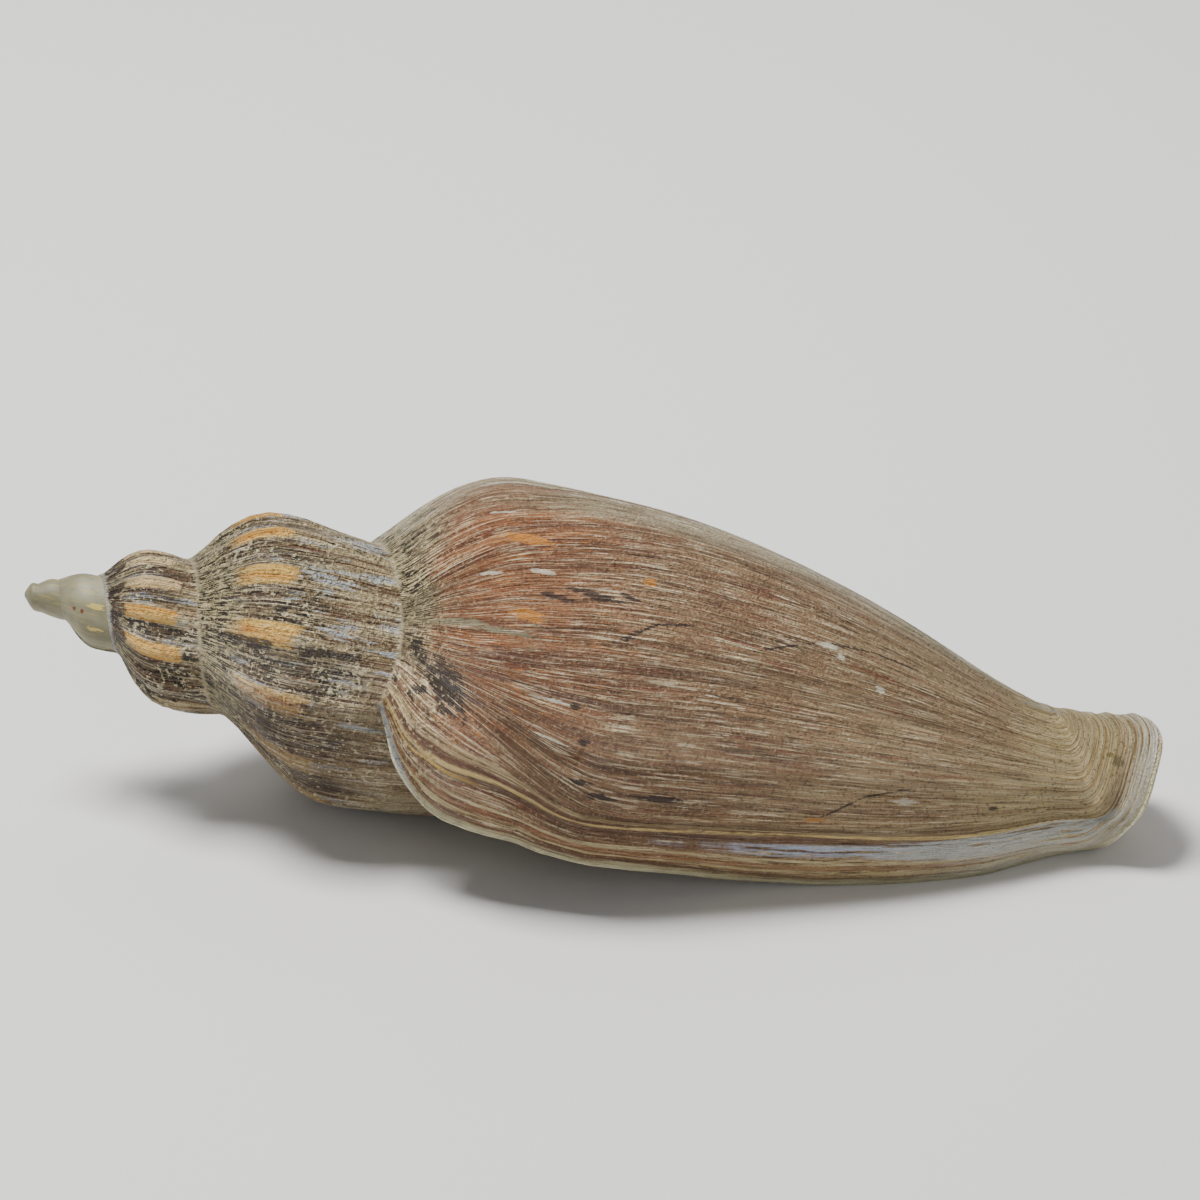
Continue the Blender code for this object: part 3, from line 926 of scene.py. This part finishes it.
# Dirt by the sutures.
# Dark dirt with pale crumbs has settled in the corner behind each suture.  On the older whorls the
# lime just past the suture is chalky, then dark up to a line that the ribs scallop.
corner = both(
    tree,
    rise(tree, plus(tree, join, off(tree, patch, 13.0), both(tree, older, 3.0)), 8.0, 3.0),
    rise(tree, climb, 1.35, 0.95),
    rise(tree, stray_angle, -14.0, -40.0),
    rise(tree, angle, -1060.0, -1000.0),
)
soiled = plus(tree, specks, off(tree, hair, 0.7))
soiled = blend(tree, rise(tree, soiled, 0.48, 0.54), rgb(26, 23, 18), rgb(206, 190, 142))
colour = blend(tree, both(tree, corner, 0.95), colour, soiled)
start_edge = both(tree, rise(tree, angle, -1040.0, -1000.0), older, rise(tree, climb, 0.6, 0.45))
scallop = plus(tree, join, both(tree, crest, -1.1), off(tree, specks, 1.6))
scallop = both(
    tree, start_edge, band(tree, scallop, 0.9, 0.9, 0.3), rise(tree, medium, 0.4, 0.5, 0.9)
)
colour = paint(tree, colour, scallop, (52, 28, 21))
chalk_edge = rise(tree, plus(tree, join, off(tree, specks, 1.6)), 0.6, 0.3, 0.9)
colour = paint(tree, colour, both(tree, start_edge, chalk_edge), (190, 194, 200))

# Worn lines.
# The growth lines stand out everywhere, the raised ones rubbed pale and the furrows dark with
# dirt.  Chalk scraps, small pocks and fine grit are scattered over them.
lined = rise(tree, both(tree, worn_rib, whorls), 1.1, 0.2)
broken = both(tree, rise(tree, patch, 0.25, 0.6), rise(tree, corner, 1.0, 0.3), lined)
colour = paint(tree, colour, both(tree, rise(tree, fine, 0.45, 0.33, 0.5), lined), (50, 33, 22))
colour = paint(tree, colour, both(tree, rise(tree, fine, 0.56, 0.68, 0.5), broken), (220, 198, 156))
colour = paint(tree, colour, both(tree, rise(tree, hair, 0.45, 0.35, 0.65), lined), (48, 33, 22))
colour = paint(tree, colour, both(tree, rise(tree, hair, 0.53, 0.62, 0.8), broken), (232, 214, 176))
scraps = both(tree, rise(tree, dashes, 0.64, 0.69), rise(tree, patch, 0.52, 0.6), 0.7)
colour = paint(tree, colour, scraps, (230, 218, 186))
top_streaks = both(tree, band(tree, angle, -112.0, 14.0, 14.0), rise(tree, chalky, 0.54, 0.6, 0.6))
colour = paint(tree, colour, top_streaks, (222, 216, 196))
pocks = both(tree, rise(tree, specks, 0.36, 0.3), rise(tree, patch, 0.5, 0.6), 0.85)
colour = paint(tree, colour, pocks, (36, 26, 20))
colour = paint(tree, colour, rise(tree, grit, 0.58, 0.74, 0.4), (200, 182, 146))
colour = paint(tree, colour, rise(tree, grit, 0.44, 0.28, 0.5), (52, 38, 28))

# Lip.
# The lime laid since the snail last rested runs in bands of cream, brown and red-brown along the
# lip.  Further forward a band of chalky blue widens among them, and the rim is pale.
LIP_BANDS = (                    # growth since, half width, softness, share, colour
    (0.4, 0.5, 0.4, 0.8, (176, 168, 130)),
    (1.25, 0.08, 0.15, 0.7, (92, 64, 42)),
    (2.0, 0.12, 0.2, 0.75, (206, 188, 136)),
    (2.9, 0.35, 0.3, 0.45, (160, 104, 58)),
    (3.7, 0.12, 0.2, 0.7, (212, 196, 148)),
    (6.1, 0.35, 0.3, 0.7, (82, 54, 46)),
    (6.9, 0.22, 0.2, 0.85, (218, 190, 124)),
    (7.5, 0.12, 0.15, 0.75, (96, 54, 34)),
    (8.2, 0.25, 0.25, 0.6, (200, 176, 126)),
)
side = rise(tree, stray_angle, -62.0, -30.0)
near_lip = rise(tree, edge, 16.0, 11.0)
laid_since = plus(tree, line[0], off(tree, medium, 2.2))
for since, half, soft, share, shade in LIP_BANDS:
    shown = both(tree, band(tree, laid_since, since, half, soft), share, side)
    colour = paint(tree, colour, both(tree, shown, rise(tree, hair, 0.34, 0.52)), shade)
wide = rise(tree, x, 116.0, 148.0, 1.3)
away = calculate(tree, "ABSOLUTE", calculate(tree, "SUBTRACT", laid_since, 5.0))
bluish = both(
    tree,
    rise(tree, calculate(tree, "SUBTRACT", away, wide), 0.75, 0.2),
    rise(tree, plus(tree, x, off(tree, patch, 40.0)), 92.0, 112.0),
    rise(tree, plus(tree, fine, off(tree, dashes, 0.5)), 0.36, 0.5, 0.9),
    near_lip,
)
rim_blue = blend(tree, rise(tree, x, 112.0, 134.0), rgb(176, 188, 212), rgb(194, 196, 190))
colour = blend(tree, bluish, colour, rim_blue)
pale_rim = both(
    tree,
    rise(tree, x, 124.0, 146.0),
    rise(tree, laid_since, 4.8, 3.6),
    rise(tree, angle, -130.0, -80.0),
    rise(tree, fine, 0.38, 0.54, 0.75),
)
colour = paint(tree, colour, pale_rim, (210, 206, 188))
start_side = both(tree, rise(tree, x, 72.0, 58.0), near_lip)
wavering = plus(tree, line[0], off(tree, medium, 1.2), off(tree, fine, 0.6), off(tree, patch, 1.6))
yellow = band(tree, wavering, 6.0, 0.2, 0.25)
colour = paint(tree, colour, both(tree, start_side, yellow, 0.85), (216, 178, 88))
past_corner = both(tree, calculate(tree, "SUBTRACT", x, 54.0), 0.5)
start_rim = plus(tree, line[0], off(tree, medium, 1.0), past_corner)
start_rim = both(tree, start_side, rise(tree, start_rim, 3.6, 2.0, 0.85))
colour = paint(tree, colour, start_rim, (186, 190, 194))
thin_rim = both(tree, rise(tree, line[0], 0.8, 0.3), side, 0.6)
colour = paint(tree, colour, thin_rim, (204, 198, 160))

# Sutures.
# A thread of cream lime fills the groove where each whorl is stuck to the one before it.
cord = both(
    tree,
    rise(tree, plus(tree, join, off(tree, specks, 1.8)), 0.4, 0.15),
    rise(tree, angle, RIBS_BEGIN, RIBS_BEGIN + 60.0),
    rise(tree, patch, 0.36, 0.5),
)
colour = paint(tree, colour, both(tree, cord, 0.75), (204, 188, 150))

# First whorls.
# They grew in the egg, have no outer layer, and are smooth bare lime, waxy and olive grey.
waxy = rise(tree, plus(tree, angle, off(tree, patch, 30.0)), -1012.0, -1028.0)
wax = blend(tree, rise(tree, patch, 0.35, 0.65), rgb(110, 106, 82), rgb(136, 132, 106))
wax = paint(tree, wax, rise(tree, dashes, 0.55, 0.65, 0.45), (164, 146, 82))
wax = paint(tree, wax, rise(tree, fine, 0.42, 0.32, 0.5), (104, 92, 70))
colour = blend(tree, waxy, colour, wax)

# Single marks.
# The side carries black growths, knocks, scratches and flaked spots, all with ragged edges, and
# pale and dark crumbs cling beside the sutures.
ragged = plus(tree, off(tree, specks, 4.4), off(tree, hair, 3.4), off(tree, crumbs, 1.4), 0.1)
BLACK, PIT, CHALK, OCHRE = (24, 21, 20), (44, 29, 22), (222, 214, 190), (206, 134, 52)
GREEN, RED, YELLOW = (140, 134, 104), (96, 22, 16), (206, 184, 92)
MARKS = (                        # growth angle, place, half length, half width, slant, colour
    (-35.6, 61.0, 4.0, 0.6, 0.1, GREEN),
    (-33.6, 67.0, 4.5, 0.4, 0.05, GREEN),
    (-15.4, 60.8, 3.8, 3.7, 0.5, BLACK),
    (-25.0, 56.6, 1.8, 1.9, 1.2, BLACK),
    (-11.5, 57.6, 1.8, 1.0, -0.6, BLACK),
    (-13.4, 53.6, 0.9, 0.9, 0.0, BLACK),
    (-45.5, 74.0, 2.6, 0.45, 0.1, PIT),
    (-48.0, 79.0, 3.8, 0.6, 0.1, PIT),
    (-49.5, 83.6, 1.6, 0.35, 0.1, PIT),
    (-37.4, 84.2, 1.5, 0.5, -0.55, PIT),
    (-40.8, 86.4, 2.0, 0.3, -0.6, PIT),
    (-44.2, 90.0, 3.6, 0.16, -0.2, PIT),
    (-7.5, 80.9, 0.9, 0.5, 0.0, PIT),
    (-16.8, 79.0, 0.8, 0.6, 0.0, PIT),
    (3.7, 81.1, 2.0, 0.4, 0.0, PIT),
    (6.9, 84.5, 2.2, 0.5, 0.05, PIT),
    (6.0, 93.0, 3.4, 0.5, 0.0, PIT),
    (-47.0, 105.5, 4.0, 0.22, -0.55, PIT),
    (-55.0, 113.5, 4.5, 0.24, -0.25, PIT),
    (-58.5, 121.0, 4.0, 0.27, -0.1, PIT),
    (-53.0, 111.8, 1.6, 0.7, 0.0, CHALK),
    (-50.5, 113.8, 0.6, 0.6, 0.0, CHALK),
    (-42.6, 120.0, 0.7, 0.7, 0.0, CHALK),
    (4.5, 117.5, 3.4, 0.24, -0.7, PIT),
    (-2.5, 123.5, 3.6, 0.24, -0.35, PIT),
    (1.0, 126.0, 1.8, 0.6, 0.0, CHALK),
    (3.4, 138.4, 0.7, 0.6, 0.0, PIT),
    (9.8, 114.1, 1.6, 0.4, 0.0, OCHRE),
    (-56.2, 86.1, 1.0, 0.7, 0.0, OCHRE),
    (-63.3, 68.5, 4.2, 0.8, 0.05, OCHRE),
    (-38.8, 70.4, 2.6, 0.8, 0.0, OCHRE),
    (-52.4, 71.4, 1.6, 0.4, 0.0, CHALK),
    (-50.4, 64.4, 1.8, 0.3, 0.0, CHALK),
    (-74.6, 64.8, 1.8, 0.3, 0.1, CHALK),
    (-17.2, 75.5, 2.6, 0.22, 0.05, CHALK),
    (-6.9, 76.6, 3.2, 0.16, 0.2, CHALK),
    (-41.0, 154.6, 0.9, 2.2, 0.0, (112, 100, 60)),
    (-46.0, 153.4, 0.6, 1.2, 0.0, (146, 128, 66)),
    (-84.0, 143.0, 3.0, 1.6, 0.0, (176, 176, 158)),
    (-377.4, 33.0, 4.5, 0.9, 0.0, PIT),
    (-377.8, 43.5, 6.0, 0.8, 0.0, PIT),
    (-1099.0, 10.6, 1.3, 2.2, 0.0, YELLOW),
    (-1063.0, 10.8, 1.4, 1.8, 0.0, YELLOW),
    (-1088.3, 7.6, 0.3, 1.6, 0.0, RED),
    (-1087.6, 8.8, 0.3, 1.6, 0.0, RED),
)
for mark_angle, mark_x, long_way, wide_way, slant, shade in MARKS:
    mark = spot_mask(tree, (angle, x), mark_angle, mark_x, long_way, wide_way, ragged, slant)
    colour = paint(tree, colour, both(tree, mark, 0.86), shade)
by_suture = both(
    tree,
    rise(tree, plus(tree, join, both(tree, older, 6.0)), 13.0, 3.0),
    rise(tree, waxy, 0.6, 0.2),
    plus(tree, 0.35, rise(tree, climb, 1.35, 0.95, 0.65)),
    lined,
)
loose = plus(tree, crumbs, off(tree, specks, 0.5), both(tree, by_suture, 0.06))
pale_crumbs = both(tree, rise(tree, loose, 0.63, 0.69, 0.8), by_suture)
colour = paint(tree, colour, pale_crumbs, (222, 204, 158))
dark_crumbs = both(tree, rise(tree, loose, 0.45, 0.4, 0.7), by_suture)
colour = paint(tree, colour, dark_crumbs, (40, 30, 22))

# End of the pillar.
# The outer layer is worn off here, down to plain lime, which is smooth.
end_face = rise(tree, to_end, 0.0, -0.2)
worn = blend(tree, rise(tree, patch, 0.35, 0.65), rgb(150, 138, 106), rgb(196, 184, 150))
colour = blend(tree, end_face, colour, worn)

# Grain.
# The raised lines and the crumbs can be felt with a nail, most of all on the old whorls, and the
# raised lines are a little duller than the furrows.
GRAIN_DEPTH = 0.0018
tree.links.new(colour, surface.inputs["Base Color"])
dull = calculate(tree, "ADD", 0.38, both(tree, fine, 0.34))
tree.links.new(dull, surface.inputs["Roughness"])
coarse = both(tree, crumbs, calculate(tree, "ADD", both(tree, whorls, 0.8), 0.25))
height = plus(tree, both(tree, hair, 0.6), fine, coarse, both(tree, grit, 0.3))
height = both(tree, height, rise(tree, waxy, 1.0, 0.0), rise(tree, end_face, 1.0, 0.0))
inputs = {"Height": height, "Distance": GRAIN_DEPTH, "Strength": 1.0}
rough = node(tree, "ShaderNodeBump", inputs)
tree.links.new(rough.outputs["Normal"], surface.inputs["Normal"])

# Mouth lining.
# The inner layer is denser lime, smooth and glossy, cream with a flush of orange further in.
LINING_DEPTH = 0.0003
lining, tree, surface = start_finish("mouth lining", 0.25)
line = read_map(tree, "growth")
soft_lines = streaks(tree, line, 0.5, 0.03, 21.0, 3.0, 0.6)
deep = rise(tree, line[0], 4.0, 60.0)
colour = blend(tree, deep, rgb(196, 182, 148), rgb(206, 158, 112))
colour = blend(tree, rise(tree, soft_lines, 0.4, 0.62, 0.5), colour, rgb(222, 212, 188))
tree.links.new(colour, surface.inputs["Base Color"])
gloss = calculate(tree, "ADD", 0.2, both(tree, soft_lines, 0.2))
tree.links.new(gloss, surface.inputs["Roughness"])
inputs = {"Height": soft_lines, "Distance": LINING_DEPTH, "Strength": 0.6}
rough = node(tree, "ShaderNodeBump", inputs)
tree.links.new(rough.outputs["Normal"], surface.inputs["Normal"])

# One shell.
# Wall and lining are one piece of lime, so the room is cut out of the wall and the two become one
# body, which rides on the shell's only body and is shown in place of the plain solid.
SHARP_EDGE = 60.0
for part in (outer_wall, room):
    part.data.materials.append(outside)
    part.data.materials.append(lining)
cut = outer_wall.modifiers.new("room", "BOOLEAN")
cut.operation = "DIFFERENCE"
cut.solver = "EXACT"
cut.object = room
mesh = bpy.data.meshes.new_from_object(
    outer_wall.evaluated_get(bpy.context.evaluated_depsgraph_get())
)
mesh.shade_smooth()
mesh.set_sharp_from_angle(angle=math.radians(SHARP_EDGE))
shell = add_object("volute_shell", mesh)
for part in (outer_wall, room):
    bpy.data.objects.remove(part)
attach(shell, "root")
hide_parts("shell")

# Floor.
# A wide sheet of pale matt board, so large that its edges stay out of sight.
FLOOR_WIDTH = 6.0
BOARD = (0.72, 0.71, 0.69, 1.0)
bm = bmesh.new()
bmesh.ops.create_grid(bm, x_segments=1, y_segments=1, size=FLOOR_WIDTH / 2.0)
floor = add_mesh("floor", bm)
board, tree, surface = start_finish("pale board", 0.9)
surface.inputs["Base Color"].default_value = BOARD
floor.data.materials.append(board)

# Studio light and camera.
# A soft lamp stands high on the left, a larger and weaker one in front on the right and a third
# behind, and pale light fills the room.
world = bpy.data.worlds.new("studio")
world.use_nodes = True
room_light = world.node_tree.nodes["Background"]
room_light.inputs["Color"].default_value = (0.95, 0.97, 1.0, 1.0)
room_light.inputs["Strength"].default_value = 0.22
bpy.context.scene.world = world
LAMPS = (                        # name, place, width, power in watts
    ("key", Vector((-0.25, 0.05, 0.8)), 0.3, 12.5),
    ("fill", Vector((0.3, -0.8, 0.45)), 0.6, 1.6),
    ("back", Vector((0.1, 0.6, 0.6)), 0.5, 1.5),
)
for name, spot, width, power in LAMPS:
    lamp = bpy.data.lights.new(name, "AREA")
    lamp.size = width
    lamp.energy = power
    holder = add_object(name, lamp)
    holder.location = spot
    holder.rotation_euler = (-spot).to_track_quat("-Z", "Y").to_euler()

CAMERA_AZIMUTH = 5.1
CAMERA_ELEVATION = 30.0
CAMERA_DISTANCE = 0.8795
CAMERA_LENS = 190.0
SENSOR_WIDTH = 36.0
AIM = Vector((0.00127, 0.0, 0.035))
camera_data = bpy.data.cameras.new("camera")
camera_data.lens = CAMERA_LENS
camera_data.sensor_width = SENSOR_WIDTH
camera = add_object("camera", camera_data)
azimuth, elevation = math.radians(CAMERA_AZIMUTH), math.radians(CAMERA_ELEVATION)
sight = Vector((
    math.sin(azimuth) * math.cos(elevation),
    -math.cos(azimuth) * math.cos(elevation),
    math.sin(elevation),
))
camera.location = AIM + sight * CAMERA_DISTANCE
camera.rotation_euler = (-sight).to_track_quat("-Z", "Y").to_euler()
bpy.context.scene.camera = camera
